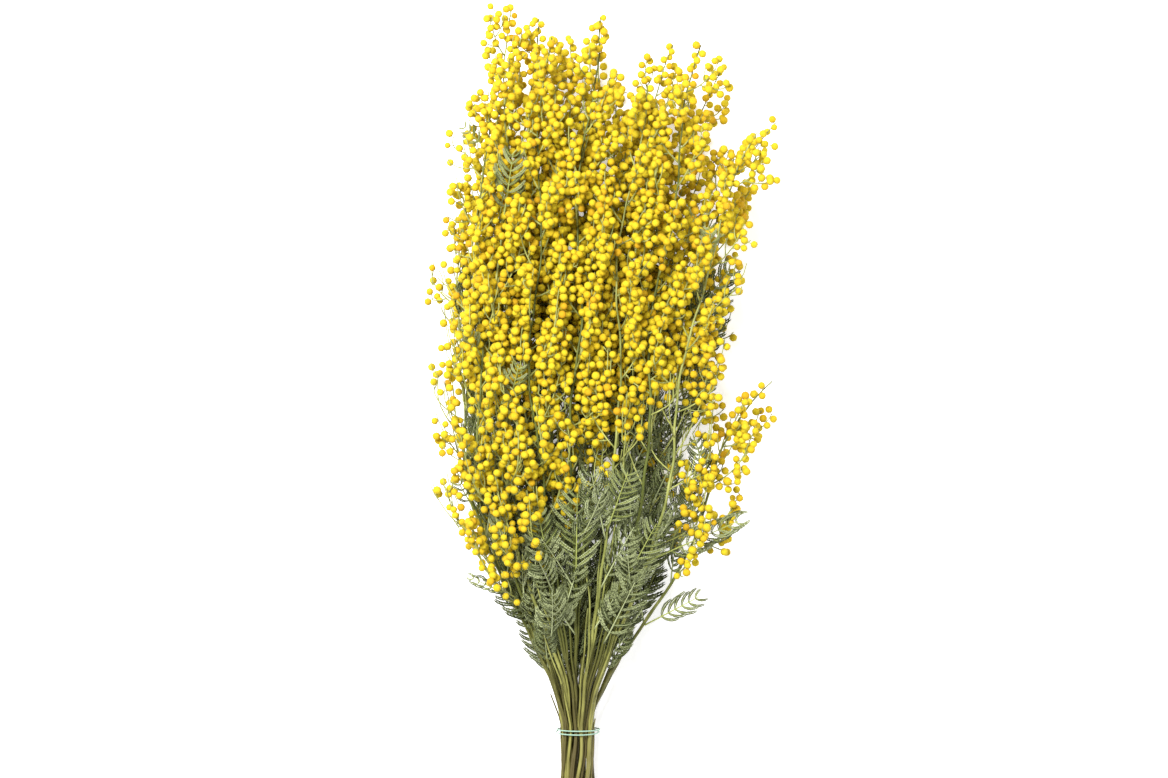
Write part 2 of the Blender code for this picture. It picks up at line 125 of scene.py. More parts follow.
def sprig_line(k, y):
    """Points (..., 3) on the middle line of sprig k at heights y.

    Up to the band, x and z are those of its slot, turned and spread about the bundle's middle towards the cut
    ends. Above it, x is the slot + the fan share of the spread + lean * (share of the way from shoulder to
    tip) ^ 2.5, and z is the slot + the fan share of the rise + droop * (share of the run) ^ 3. Both have sine
    waves, which grow with the run and again where flowering begins.
    """
    shoulder_x, tip_x, tip_y, body_z, tip_z, base_y = SPRIGS[k]
    slot_x, slot_z = slots[k]
    tip_run, run = tip_y - BAND_Y, y - BAND_Y
    spread_x = (shoulder_x - BUNDLE_X - slot_x) / fan_share(SHOULDER_Y - BAND_Y, FAN_REACH)
    lean_x = tip_x - BUNDLE_X - slot_x - spread_x * fan_share(tip_run, FAN_REACH)
    lean = np.clip((y - SHOULDER_Y) / (tip_y - SHOULDER_Y), 0.0, None) ** LEAN_POWER
    below = np.clip(-run / (BAND_Y - CUT_Y), 0.0, 1.0)
    turn = TAIL_TWIST * below * below * (2.0 - below)
    spread = 1.0 + TAIL_SPREAD * below
    bundle_x = BUNDLE_X + spread * (slot_x * np.cos(turn) - slot_z * np.sin(turn))
    bundle_z = BUNDLE_Z + below * TAIL_RISE + spread * (slot_x * np.sin(turn) + slot_z * np.cos(turn))
    droop = (tip_z - body_z) * np.clip(run / tip_run, 0.0, 1.2) ** 3
    sway = SWAY * np.sin(run * 17.0 + k * 2.4) * np.clip(run / SWAY_RUN, 0.0, 1.0) ** 2
    sway *= 1.0 - np.clip(run / tip_run, 0.0, 1.0)
    x = bundle_x + spread_x * fan_share(run, FAN_REACH) + lean_x * lean + sway
    z = bundle_z + (body_z - BUNDLE_Z - slot_z) * fan_share(run, RISE_REACH) + droop
    wave = STEM_WAVE * np.clip(run / STEM_WAVE_RUN, 0.0, 1.0)
    wave = wave + SPRAY_WAVE * np.clip((y - base_y) / SPRAY_WAVE_RUN, 0.0, 1.0)
    x = x + wave * np.sin(y * 29.0 + k * 1.7) + RIPPLE * np.sin(y * 131.0 + k)
    z = z + 0.8 * wave * np.sin(y * 33.0 + k * 4.1)
    return np.stack([x, y, z], axis=-1)


def unit(vectors):
    """The vectors (..., 3) divided by their lengths."""
    return vectors / np.maximum(np.linalg.norm(vectors, axis=-1, keepdims=True), 1e-12)


def tubes(lines, radii, sides, rib=0.0):
    """Vertices (n, 3) and face arrays of closed tubes round lines (m, n, 3).

    Round each point of a line stands a ring, point + radius * (cos(turn) * first + sin(turn) * second), where
    first and second are square to the line. Quads join each ring to the next, and both ends have a flat cap.
    Every other corner stands out by rib.
    """
    count, nodes = lines.shape[:2]
    directions = unit(np.gradient(lines, axis=1))
    steep = np.abs(unit(lines[:, -1] - lines[:, 0])[:, 2]) > 0.8
    fixed = np.where(steep[:, None], (0.0, 1.0, 0.0), (0.0, 0.0, 1.0))[:, None]
    first = unit(np.cross(directions, fixed))
    second = np.cross(directions, first)
    turn = 2.0 * np.pi * np.arange(sides) / sides
    ring = np.cos(turn)[:, None] * first[:, :, None] + np.sin(turn)[:, None] * second[:, :, None]
    ring = ring * (1.0 + rib * (-1.0) ** np.arange(sides))[:, None]
    radii = np.broadcast_to(radii, (count, nodes))[..., None, None]
    vertices = (lines[:, :, None] + radii * ring).reshape(-1, 3)
    index = np.arange(count * nodes * sides).reshape(count, nodes, sides)
    beside = np.roll(index, -1, axis=2)
    quads = np.stack([index[:, :-1], beside[:, :-1], beside[:, 1:], index[:, 1:]], axis=-1).reshape(-1, 4)
    return vertices, [quads, index[:, 0, ::-1], index[:, -1]]


def side_shoots(k, draw):
    """Lines (SHOOTS, SHOOT_NODES, 3) that rise beside stem k and drift away from it, inside the bundle.

    At a share of its length a shoot is SHOOT_APART off the stem's middle line, as soon as it is clear of its
    foot, plus its drift * share ^ 2, in a direction that turns slowly. The bundle's room is a round of
    SHOOT_ROOM in the band and widens above it by SHOOT_SPLAY of the height.
    """
    share = np.linspace(0.0, 1.0, SHOOT_NODES)
    foot_y = np.maximum(draw.uniform(-0.400, -0.150, (SHOOTS, 1)), CUT_Y)
    shoots = sprig_line(k, foot_y + draw.uniform(0.09, 0.16, (SHOOTS, 1)) * share)
    azimuth = draw.uniform(0.0, 6.28, (SHOOTS, 1)) + draw.uniform(-1.5, 1.5, (SHOOTS, 1)) * share
    drift = draw.uniform(0.004, 0.020, (SHOOTS, 1)) * share**2
    apart = SHOOT_APART * np.minimum(1.0, share / SHOOT_APART_SHARE) + drift
    aside = apart[..., None] * np.stack([np.cos(azimuth), np.sin(azimuth)], axis=-1)
    offset = shoots[..., [0, 2]] - (BUNDLE_X, BUNDLE_Z) + aside
    room = SHOOT_ROOM + SHOOT_SPLAY * np.clip(shoots[..., 1] - SHOOT_SPLAY_Y, 0.0, None)
    offset *= np.minimum(1.0, room / np.linalg.norm(offset, axis=-1))[..., None]
    shoots[..., [0, 2]] = np.array([BUNDLE_X, BUNDLE_Z]) + offset
    shoots[..., 2] = np.maximum(shoots[..., 2], SHOOT_LOWEST_Z)
    return shoots


def joined(shapes):
    """Several (vertices, face arrays) as one."""
    first = np.cumsum([0] + [len(vertices) for vertices, _ in shapes[:-1]])
    faces = [array + start for (_, arrays), start in zip(shapes, first) for array in arrays]
    return np.concatenate([vertices for vertices, _ in shapes]), faces


def add_piece(name, shape, finish, replaced=(), tint=None):
    """Makes a smooth-shaded piece that rides on the bunch and stands for the CAD nodes named in replaced.

    The tint is a number from 0 to 1 for every vertex, which the piece's material reads.
    """
    vertices, faces = shape
    mesh = bpy.data.meshes.new(name)
    corners = np.concatenate([array.ravel() for array in faces]).astype(np.int32)
    sizes = np.concatenate([np.full(len(array), array.shape[1]) for array in faces])
    starts = np.concatenate([[0], np.cumsum(sizes)[:-1]]).astype(np.int32)
    mesh.vertices.add(len(vertices))
    mesh.vertices.foreach_set("co", vertices.astype(np.float32).ravel())
    mesh.loops.add(len(corners))
    mesh.loops.foreach_set("vertex_index", corners)
    mesh.polygons.add(len(sizes))
    mesh.polygons.foreach_set("loop_start", starts)
    mesh.update(calc_edges=True)
    if tint is not None:
        values = mesh.attributes.new("tint", "FLOAT", "POINT").data
        values.foreach_set("value", tint.astype(np.float32))
    mesh.materials.append(finish)
    mesh.shade_smooth()
    piece = bpy.data.objects.new(name, mesh)
    bpy.context.scene.collection.objects.link(piece)
    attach(piece, "root")
    if replaced:
        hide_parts(*replaced)


class Shade:
    """One value in a material's nodes. Arithmetic on it adds Math nodes."""

    def __init__(self, tree, socket=None):
        self.tree, self.socket = tree, socket

    def node(self, kind, settings=None, inputs=None, output=0):
        """Adds a node. Its settings are made first, then the values or links of its sockets."""
        made = self.tree.nodes.new(kind)
        for name, value in (settings or {}).items():
            setattr(made, name, value)
        for name, value in (inputs or {}).items():
            if isinstance(value, Shade):
                self.tree.links.new(value.socket, made.inputs[name])
            else:
                made.inputs[name].default_value = value
        return Shade(self.tree, made.outputs[output])

    def math(self, operation, *values):
        """Adds a Math node with these values or links."""
        return self.node("ShaderNodeMath", {"operation": operation}, dict(enumerate(values)))

    def __add__(self, other):
        return self.math("ADD", self, other)

    def __mul__(self, other):
        return self.math("MULTIPLY", self, other)

    __radd__, __rmul__ = __add__, __mul__

    def ramp(self, low, high):
        """0 below low, 1 above high, and smooth between them."""
        limits = {"Value": self, "From Min": low, "From Max": high}
        return self.node("ShaderNodeMapRange", {"interpolation_type": "SMOOTHSTEP"}, limits)

    def mix(self, low, high):
        """The colour low where this value is 0, and high where it is 1."""
        first, second = (colour if isinstance(colour, Shade) else (*colour, 1.0) for colour in (low, high))
        return self.node("ShaderNodeMix", {"data_type": "RGBA"}, {0: self, 6: first, 7: second}, 2)


def material(name, roughness):
    """A material, a Shade to build its nodes from, and a function that feeds a Shade to a shader socket."""
    made = bpy.data.materials.new(name)
    made.use_nodes = True
    shader = made.node_tree.nodes["Principled BSDF"]
    shader.inputs["Roughness"].default_value = roughness
    shader.inputs["Specular IOR Level"].default_value = 0.3

    def feed(socket, value):
        made.node_tree.links.new(value.socket, shader.inputs[socket])

    return made, Shade(made.node_tree), feed


def own_place(shade):
    """The point on the piece in its own coordinates."""
    return shade.node("ShaderNodeTexCoord", output=3)


def own_tint(shade):
    """The number that add_piece wrote on the vertices."""
    return shade.node("ShaderNodeAttribute", {"attribute_name": "tint"}, output=2)


def noise(shade, scale, detail, squash=(1.0, 1.0, 1.0)):
    """Noise from 0 to 1 over the piece's own coordinates, with scale cells to a metre."""
    place = shade.node("ShaderNodeMapping", None, {"Vector": own_place(shade), "Scale": squash})
    return shade.node("ShaderNodeTexNoise", None, {"Vector": place, "Scale": scale, "Detail": detail})


def relief(shade, strength, distance, height):
    """A surface direction that makes height, from 0 to 1, look raised by up to distance."""
    return shade.node("ShaderNodeBump", None, {"Strength": strength, "Distance": distance, "Height": height})


stem_finish, shade, feed = material("stem_bark", 0.58)
height = shade.node("ShaderNodeSeparateXYZ", None, {0: own_place(shade)}, 1)
blotch = (noise(shade, 150.0, 3.0, (1.0, 0.2, 1.0)) * 0.6 + own_tint(shade) * 0.4).ramp(0.34, 0.80)
old_wood = blotch.mix(OLD_WOOD_DARK, OLD_WOOD_PALE)
green_wood = blotch.mix(GREEN_WOOD_DARK, GREEN_WOOD_PALE)
feed("Base Color", height.ramp(-0.33, -0.10).mix(old_wood, green_wood))
feed("Normal", relief(shade, 0.8, 0.0007, noise(shade, 900.0, 2.0, (1.0, 0.06, 1.0))))

for k, (_, _, tip_y, _, _, base_y) in enumerate(SPRIGS):
    draw = np.random.default_rng(STEM_SEED + k)
    tail = np.linspace(CUT_Y, BAND_Y, TAIL_NODES)[:-1]
    levels = np.concatenate([tail, np.linspace(BAND_Y, tip_y, STEM_NODES)])
    radii = np.interp(levels, (CUT_Y, base_y, tip_y), (STEM_CUT_R, STEM_TOP_R, STEM_TIP_R))
    radii = radii * draw.uniform(0.78, 1.22)
    knots = np.cumsum(draw.uniform(0.025, 0.050, KNOTS)) + BAND_Y + KNOT_FREE_RUN
    swell = np.exp(-(((levels[:, None] - knots) / KNOT_LENGTH) ** 2)).sum(axis=1)
    radii = radii * (1.0 + KNOT_SWELL * swell)
    stem = tubes(sprig_line(k, levels)[None], radii[None], STEM_SIDES, RIB_HEIGHT)
    shoot_radii = np.linspace(SHOOT_FOOT_R, SHOOT_TIP_R, SHOOT_NODES)[None]
    shape = joined([stem, tubes(side_shoots(k, draw), shoot_radii, SHOOT_SIDES)])
    tint = np.full(len(shape[0]), draw.uniform())
    add_piece(f"sprig_{k + 1:02d}", shape, stem_finish, (f"stem_{k + 1:02d}",), tint)

# Leaves. Twice divided, soft and grey-green: a yellow-green rib with pairs of slim pinnae, and along each
# pinna two rows of tiny flat leaflets. Thirteen large ones are seen from the front, and smaller ones fill the
# lower bunch. They grow from the stems.

# Sprigs whose body is above FRONT_Z are in front, and those below BACK_Z are behind.
FRONT_Z, BACK_Z = 0.10, 0.03
RIB_NODES, RIB_FOOT_R, RIB_TIP_R = 12, 0.0009, 0.0003
PINNA_NODES, PINNA_REACH, PINNA_DROOP = 6, 0.35, 0.12
VEIN_R = (0.0004, 0.00035, 0.0002)
LEAFLET_DEPTH, LEAFLET_OVERLAP, LEAF_LOWEST_Z = 0.00035, 1.15, 0.0006
SHADED_BLADE, DULL_BLADE = (0.050, 0.064, 0.016), (0.115, 0.138, 0.040)
PALE_BLADE, LEAF_RIB = (0.390, 0.430, 0.215), (0.340, 0.380, 0.100)

leaf_finish, shade, feed = material("leaf_blade", 0.62)
tint = own_tint(shade)
blade = noise(shade, 60.0, 2.0).ramp(0.35, 0.65).mix(SHADED_BLADE, DULL_BLADE)
# A low tint keeps the blade dark and a high one makes it pale. The tint differs at random from pinna to
# pinna. On the small leaves of inner and back sprigs it is also scaled lower, which paints shade on them.
blade = tint.ramp(0.0, 0.8).mix(blade, PALE_BLADE)
feed("Base Color", tint.ramp(0.90, 0.98).mix(blade, LEAF_RIB))


def square_to(directions):
    """Two unit vectors (..., 3) square to each direction: one nearly level, the other nearly upright."""
    steep = np.abs(directions[..., 2:]) > 0.9
    level = unit(np.cross(directions, np.where(steep, (0.0, 1.0, 0.0), (0.0, 0.0, 1.0))))
    return level, np.cross(level, directions)


def along(lines, share):
    """Points and directions (m, s, 3) at the shares (m, s) of lines (m, n, 3), straight from node to node."""
    at = np.clip(share, 0.0, 1.0) * (lines.shape[1] - 1)
    low = np.clip(at.astype(int), 0, lines.shape[1] - 2)[..., None]
    start = np.take_along_axis(lines, low, axis=1)
    end = np.take_along_axis(lines, low + 1, axis=1)
    return start + (end - start) * (at[..., None] - low), unit(end - start)


def bent_lines(start, ahead, out, length, lean_from, lean_to, nodes):
    """Lines (m, nodes, 3) that leave start lean_from degrees off ahead, towards out, and bend to lean_to.

    Each step is cos(lean) * ahead + sin(lean) * out, and the lean changes evenly from step to step.
    """
    lean = lean_from[:, None] + (lean_to - lean_from[:, None]) * np.linspace(0.0, 1.0, nodes - 1)
    lean = np.radians(lean)
    step = np.cos(lean)[..., None] * ahead[:, None] + np.sin(lean)[..., None] * out[:, None]
    grown = np.cumsum(step * (length / (nodes - 1))[:, None, None], axis=1)
    return np.concatenate([start[:, None], start[:, None] + grown], axis=1)


def leaflet_blades(pinnae, reach, lift, leaflets, width, draw):
    """Closed four-cornered blades in two rows along the pinnae (m, n, 3), and the places that they grow from.

    A blade's corners are its foot, its tip and one on each side of its middle, which lies a little deeper.
    It is width * sin(pi * share) ^ 0.5 long, where share is the part of the pinna's length.
    """
    count = len(pinnae)
    share = np.broadcast_to((np.arange(leaflets) + 0.9) / (leaflets + 0.4), (count, leaflets))
    spots, ahead = (np.repeat(part, 2, axis=1) for part in along(pinnae, share))
    side = np.cross(ahead, lift) * np.tile((-1.0, 1.0), leaflets)[None, :, None]
    size = width * np.sin(np.pi * np.repeat((np.arange(leaflets) + 1.6) / (leaflets + 2.2), 2)) ** 0.5
    size = size * np.sqrt(reach / 0.026)[:, None] * draw.uniform(0.9, 1.1, (count, 2 * leaflets))
    tilt = lift * draw.normal(0.0, 0.08, (count, 2 * leaflets, 1))
    towards = unit(0.85 * side + 0.45 * ahead + tilt)
    half = LEAFLET_OVERLAP * (reach / leaflets)[:, None, None]
    middle = spots + towards * (0.55 * size[..., None]) - lift * LEAFLET_DEPTH
    corners = [spots, middle - ahead * half, spots + towards * size[..., None], middle + ahead * half]
    vertices = np.stack(corners, axis=2)
    mirrored = np.tile((True, False), leaflets)[None, :, None, None]
    vertices = np.where(mirrored, vertices[:, :, [0, 3, 2, 1]], vertices).reshape(-1, 3)
    first = 4 * np.arange(len(vertices) // 4)[:, None]
    faces = [first + np.array([corner]) for corner in ((0, 1, 2), (0, 2, 3), (0, 3, 1), (1, 3, 2))]
    return (vertices, faces), spots


def leaf(foot, forward, across, length, petiole, pairs, leaflets, arch, hook, width, draw):
    """A leaf's (vertices, face arrays), its tint and the places of its leaflets.

    Its rib starts at foot and is forward * share * length + lift * arch * share * (1.6 - share). A pinna is
    0.35 * length * sin(pi * (0.24 + 0.62 * place)) long, leaves the rib at a wide angle and ends hook degrees
    off the rib's direction. The tint is 1 on the ribs and differs from pinna to pinna on the leaflets.
    """
    lift = np.cross(across, forward)
    share = np.linspace(0.0, 1.0, RIB_NODES)
    height = arch * share * (1.6 - share)
    rib = (foot + forward * (share * length)[:, None] + lift * height[:, None])[None]
    place = petiole / length + (1.0 - petiole / length) * (np.arange(pairs) + 0.5) / pairs
    roots, heading = (np.repeat(part[0], 2, axis=0) for part in along(rib, place[None]))
    hand = np.tile((-1.0, 1.0), pairs)[:, None]
    reach = PINNA_REACH * length * np.sin(np.pi * (0.24 + 0.62 * np.repeat(place, 2)))
    reach = reach * draw.uniform(0.85, 1.1, 2 * pairs)
    out = unit(across * hand + lift * draw.normal(0.05, 0.20, (2 * pairs, 1)))
    pinnae = bent_lines(roots, heading, out, reach, draw.uniform(48.0, 66.0, 2 * pairs), hook, PINNA_NODES)
    fall = np.linspace(0.0, 1.0, PINNA_NODES)[None, :, None] ** 2
    pinnae = pinnae - lift * (PINNA_DROOP * reach[:, None, None] * fall)
    blades, spots = leaflet_blades(pinnae, reach, lift, leaflets, width, draw)
    veins = tubes(pinnae[:, ::2], np.array([VEIN_R]), 3)
    ribs = joined([tubes(rib, np.linspace(RIB_FOOT_R, RIB_TIP_R, RIB_NODES)[None], 5), veins])
    vertices, faces = joined([ribs, blades])
    vertices[:, 2] = np.maximum(vertices[:, 2], LEAF_LOWEST_Z)
    tint = draw.uniform(0.08, 0.76, (2 * pairs, 1)) + draw.uniform(-0.04, 0.04, (2 * pairs, 2 * leaflets))
    tint = np.concatenate([np.ones(len(ribs[0])), np.repeat(tint, 4)])
    return (vertices, faces), tint, spots.reshape(-1, 3)


def stem_at(k, y):
    """The middle line's point of sprig k at height y, its direction and two unit vectors square to it."""
    here, above = sprig_line(k, np.array([y, y + 0.004]))
    ahead = unit(above - here)
    return here, ahead, *square_to(ahead)


LARGE_LEAF_SEED, LARGE_LEAFLETS, LARGE_LEAFLET_WIDTH, LARGE_LEAF_ROOT = 700, 14, 0.0023, 0.0016

# Sprig, place along it, side, heading, climb, length, petiole, pairs of pinnae, arch and hook of each large
# leaf. The side, heading, climb and hook are in degrees.
LARGE_LEAVES = (
    (3, -0.146, 88, 1, 23, 0.090, 0.012, 10, 0.012, 36),
    (4, -0.100, 85, 19, 34, 0.072, 0.010, 9, 0.010, 36),
    (5, -0.152, 85, 28, 25, 0.076, 0.010, 9, 0.008, 32),
    (2, -0.140, 95, -12, 26, 0.066, 0.010, 8, 0.010, 36),
    (6, -0.126, 20, 66, 2, 0.088, 0.016, 9, 0.010, -25),
    (15, -0.186, 10, 62, 6, 0.056, 0.014, 6, 0.008, 10),
    (7, -0.158, 170, -64, 14, 0.040, 0.008, 5, 0.016, -30),
    (7, -0.080, 165, -30, 10, 0.034, 0.006, 5, 0.008, 20),
    (0, 0.056, 150, -30, 22, 0.032, 0.008, 4, 0.006, 30),
    (1, 0.010, 90, 14, 34, 0.048, 0.012, 6, 0.004, 30),
    (1, 0.176, 88, 9, 24, 0.068, 0.012, 8, 0.004, 25),
    (9, 0.244, 140, -46, 20, 0.032, 0.008, 4, 0.006, 30),
    (6, 0.142, 85, -6, 40, 0.040, 0.012, 5, 0.004, 30),
)
leaf_places = []
for count, (k, y, side, heading, climb, length, petiole, pairs, arch, hook) in enumerate(LARGE_LEAVES):
    foot, _, level, upright = stem_at(k, y)
    outward = np.cos(np.radians(side)) * level + np.sin(np.radians(side)) * upright
    turn, rise = np.radians(heading), np.radians(climb)
    forward = np.array([np.sin(turn) * np.cos(rise), np.cos(turn) * np.cos(rise), np.sin(rise)])
    across = np.array([np.cos(turn), -np.sin(turn), 0.0])
    foot = foot + outward * LARGE_LEAF_ROOT
    draw = np.random.default_rng(LARGE_LEAF_SEED + count)
    form = (length, petiole, pairs, LARGE_LEAFLETS, arch, hook, LARGE_LEAFLET_WIDTH)
    blade, tint, spots = leaf(foot, forward, across, *form, draw)
    name = f"leaf_{count + 1:02d}"
    add_piece(name + "_blade", blade, leaf_finish, (name,), tint)
    leaf_places.append(spots)

SMALL_LEAF_SEED, SMALL_LEAF_ROOT, SMALL_PETIOLE, SMALL_ARCH = 800, 0.0012, 0.010, 0.006
SMALL_PAIRS, SMALL_LEAFLETS, SMALL_LEAFLET_WIDTH, BACK_LEAFLET_WIDTH = 7, 7, 0.0025, 0.0030
LOWEST_LEAF_Y, LOWEST_FRONT_LEAF_Y, LEAFLESS_TIP = -0.232, -0.195, 0.09
LEAF_PITCH, BACK_LEAF_PITCH = 0.040, 0.021
FRONT_LEAFY_TOP, LEFT_LEAFY_TOP, BACK_LEAFY_TOP, MIDDLE_LEAFY_TOP = -0.100, 0.150, 0.090, -0.010
# Painted shade: the small leaves of inner and back sprigs have their tint scaled down more than those of
# front sprigs, so they are painted darker, as if they lay in shade.
FRONT_LEAF_PAINTED_LIGHT, INNER_LEAF_PAINTED_SHADE = 0.80, 0.45
FOLIAGE_PIECES = 3

shapes, tints = [], []
for k, (shoulder_x, _, tip_y, body_z, _, _) in enumerate(SPRIGS):
    draw = np.random.default_rng(SMALL_LEAF_SEED + k)
    front, back = body_z > FRONT_Z, body_z < BACK_Z
    if front:
        leafy_top = FRONT_LEAFY_TOP
    elif shoulder_x < -0.08:
        leafy_top = LEFT_LEAFY_TOP
    elif back or shoulder_x > 0.03:
        leafy_top = BACK_LEAFY_TOP
    else:
        leafy_top = MIDDLE_LEAFY_TOP
    if shoulder_x < -0.10:
        inward = (-0.9, 0.9)
    elif shoulder_x > 0.09:
        inward = (2.2, 4.0)
    else:
        inward = (-0.6, 3.7)
    lowest = LOWEST_FRONT_LEAF_Y if front else LOWEST_LEAF_Y
    longest = 0.080 if abs(shoulder_x + 0.02) < 0.07 else 0.060
    places = np.arange(lowest, min(leafy_top, tip_y - LEAFLESS_TIP), BACK_LEAF_PITCH if back else LEAF_PITCH)
    for y in places + draw.uniform(-0.008, 0.008, len(places)):
        foot, ahead, level, upright = stem_at(k, y)
        azimuth = draw.uniform(*inward)
        lean = np.radians(draw.uniform(12.0, 36.0))
        outward = np.cos(azimuth) * level + np.sin(azimuth) * upright
        forward = np.cos(lean) * ahead + np.sin(lean) * outward
        upwards = np.array([0.0, 0.0, 1.0]) + draw.normal(0.0, 0.25 if back else 0.45, 3)
        across = unit(np.cross(forward, upwards))
        length, hook = draw.uniform(0.045, longest), draw.uniform(0.0, 34.0)
        width = BACK_LEAFLET_WIDTH if back else SMALL_LEAFLET_WIDTH
        foot = foot + outward * SMALL_LEAF_ROOT
        form = (length, SMALL_PETIOLE, SMALL_PAIRS, SMALL_LEAFLETS, SMALL_ARCH, hook, width)
        blade, tint, _ = leaf(foot, forward, across, *form, draw)
        shapes.append(blade)
        # Painted shade: leaves of inner and back sprigs get a lower tint, so they are painted darker.
        tints.append(tint * (FRONT_LEAF_PAINTED_LIGHT if front else INNER_LEAF_PAINTED_SHADE))
for part in range(FOLIAGE_PIECES):
    shape = joined(shapes[part::FOLIAGE_PIECES])
    tint = np.concatenate(tints[part::FOLIAGE_PIECES])
    add_piece(f"foliage_{part + 1}", shape, leaf_finish, (), tint)

# Branches and stalks. Thin green side shoots all round each sprig fork into racemes and into thread-thin
# stalks, one to each flower head. They grow out of the stem without a joint.

BRANCH_SEED = 300
GOLDEN_TURN = np.radians(137.5)
HEAD_R, HEAD_SPACING, LEAF_ROOM = 0.0035, 0.0052, 0.0026
BRANCH_PITCH, BACK_BRANCH_PITCH, BRANCH_NODES = 0.0155, 0.0200, 10
LEFT_START, RIGHT_START, BRANCHLESS_TIP = 0.044, 0.018, 0.028
SHORTEST_BRANCH, LONGER_BRANCH = 0.036, 0.070
BRANCH_REACH, BRANCH_BEYOND, RACEME_BEYOND = 0.034, 0.008, 0.011
RACEME_PITCH, RACEME_NODES, MOST_RACEMES = 0.0084, 5, 12
TIP_RACEME, TOP_RACEME = 0.026, 0.040
HEAD_PITCH, STALK, MOST_HEADS = 0.0043, 0.0052, 9
FRONT_STEM_HALF, FRONT_STEM_TOP_Y = 0.0045, 0.13
OUTLINE_X, OUTLINE_LOW_Y, OUTLINE_HIGH_Y = 0.160, -0.062, 0.19
RIGHT_WAIST_X, RIGHT_WAIST_Y = 0.106, -0.09
BRANCH_R, RACEME_R, STALK_R = (0.0008, 0.0004), (0.0006, 0.0004), (0.0004, 0.0003)
BRANCH_TINT = 0.8


def bent_clear(k, points, beyond):
    """Points (..., 3) of sprig k, pulled back where they leave its room.

    Its room ends by beyond past the plane midway to another sprig, at BRANCH_REACH from its own middle line,
    and at the bunch's outline, which is straight in the middle and narrower towards the band, and on the left
    towards the tips too.
    """
    flat = points.reshape(-1, 3)
    y = flat[:, 1]
    own = sprig_line(k, y)[:, [0, 2]]
    away = flat[:, [0, 2]] - own
    away *= np.minimum(1.0, BRANCH_REACH / np.maximum(np.linalg.norm(away, axis=1), 1e-9))[:, None]
    for _ in range(2):
        for other in np.delete(np.arange(len(SPRIGS)), k):
            gap = sprig_line(other, y)[:, [0, 2]] - own
            width = np.linalg.norm(gap, axis=1, keepdims=True)
            over = (away * gap / width).sum(axis=1, keepdims=True) - (width / 2.0 + beyond)
            beside = (y < SPRIGS[other, 2] + 0.008)[:, None] & (over > 0.0)
            away = away - np.where(beside, over, 0.0) * gap / width
    kept = flat.copy()
    kept[:, [0, 2]] = own + away
    left = -OUTLINE_X + 0.68 * np.clip(OUTLINE_LOW_Y - y, 0.0, None)
    left = left + 0.33 * np.clip(y - OUTLINE_HIGH_Y, 0.0, None)
    right = np.minimum(OUTLINE_X, RIGHT_WAIST_X + 0.55 * np.clip(y - RIGHT_WAIST_Y, 0.0, None))
    kept[:, 0] = np.clip(kept[:, 0], left, right)
    kept[:, 2] = np.maximum(kept[:, 2], HEAD_R + 0.001)
    return kept.reshape(points.shape)


def outward_at(azimuth, directions):
    """Unit vectors square to the directions (n, 3), turned to the azimuths (n) round them."""
    level, upright = square_to(directions)
    return np.cos(azimuth)[:, None] * level + np.sin(azimuth)[:, None] * upright


def grown_branches(k, draw):
    """Branches (n, BRANCH_NODES, 3) of sprig k, with their lengths and azimuths.

    They leave the middle line a golden turn apart and bend from 34 to 66 degrees off it to 6. A branch is
    (shortest + longer * (1 - share) ^ 0.8) long, where share is its place from the first one to the last.
    The lowest ones of a front sprig right of the middle don't point at the camera.
    """
    shoulder_x, _, tip_y, body_z, _, base_y = SPRIGS[k]
    first_y = base_y - (LEFT_START if shoulder_x < -0.02 else RIGHT_START)
    range_y = tip_y - BRANCHLESS_TIP - first_y
    count = int(range_y / (BRANCH_PITCH if body_z > BACK_Z else BACK_BRANCH_PITCH))
    share = (np.arange(count) + draw.uniform(-0.3, 0.3, count)) / count
    y = first_y + np.clip(share, 0.0, 1.0) * range_y
    roots = sprig_line(k, y)
    ahead = unit(sprig_line(k, y + 0.004) - roots)
    azimuth = draw.uniform(0.0, 6.28) + GOLDEN_TURN * np.arange(count)
    off_front = (azimuth - np.pi / 2.0 + np.pi) % (2.0 * np.pi) - np.pi
    facing = (body_z > FRONT_Z) & (shoulder_x > -0.04) & (share < 0.22) & (np.abs(off_front) < 1.0)
    azimuth = np.where(facing, azimuth + np.sign(off_front) * 1.1, azimuth)
    out = outward_at(azimuth, ahead)
    length = (SHORTEST_BRANCH + LONGER_BRANCH * (1.0 - share) ** 0.8) * draw.uniform(0.8, 1.15, count)
    length = np.minimum(length, (tip_y + 0.004 - y) * 0.95)
    branches = bent_lines(roots, ahead, out, length, draw.uniform(34.0, 66.0, count), 6.0, BRANCH_NODES)
    return bent_clear(k, branches, BRANCH_BEYOND), length, azimuth


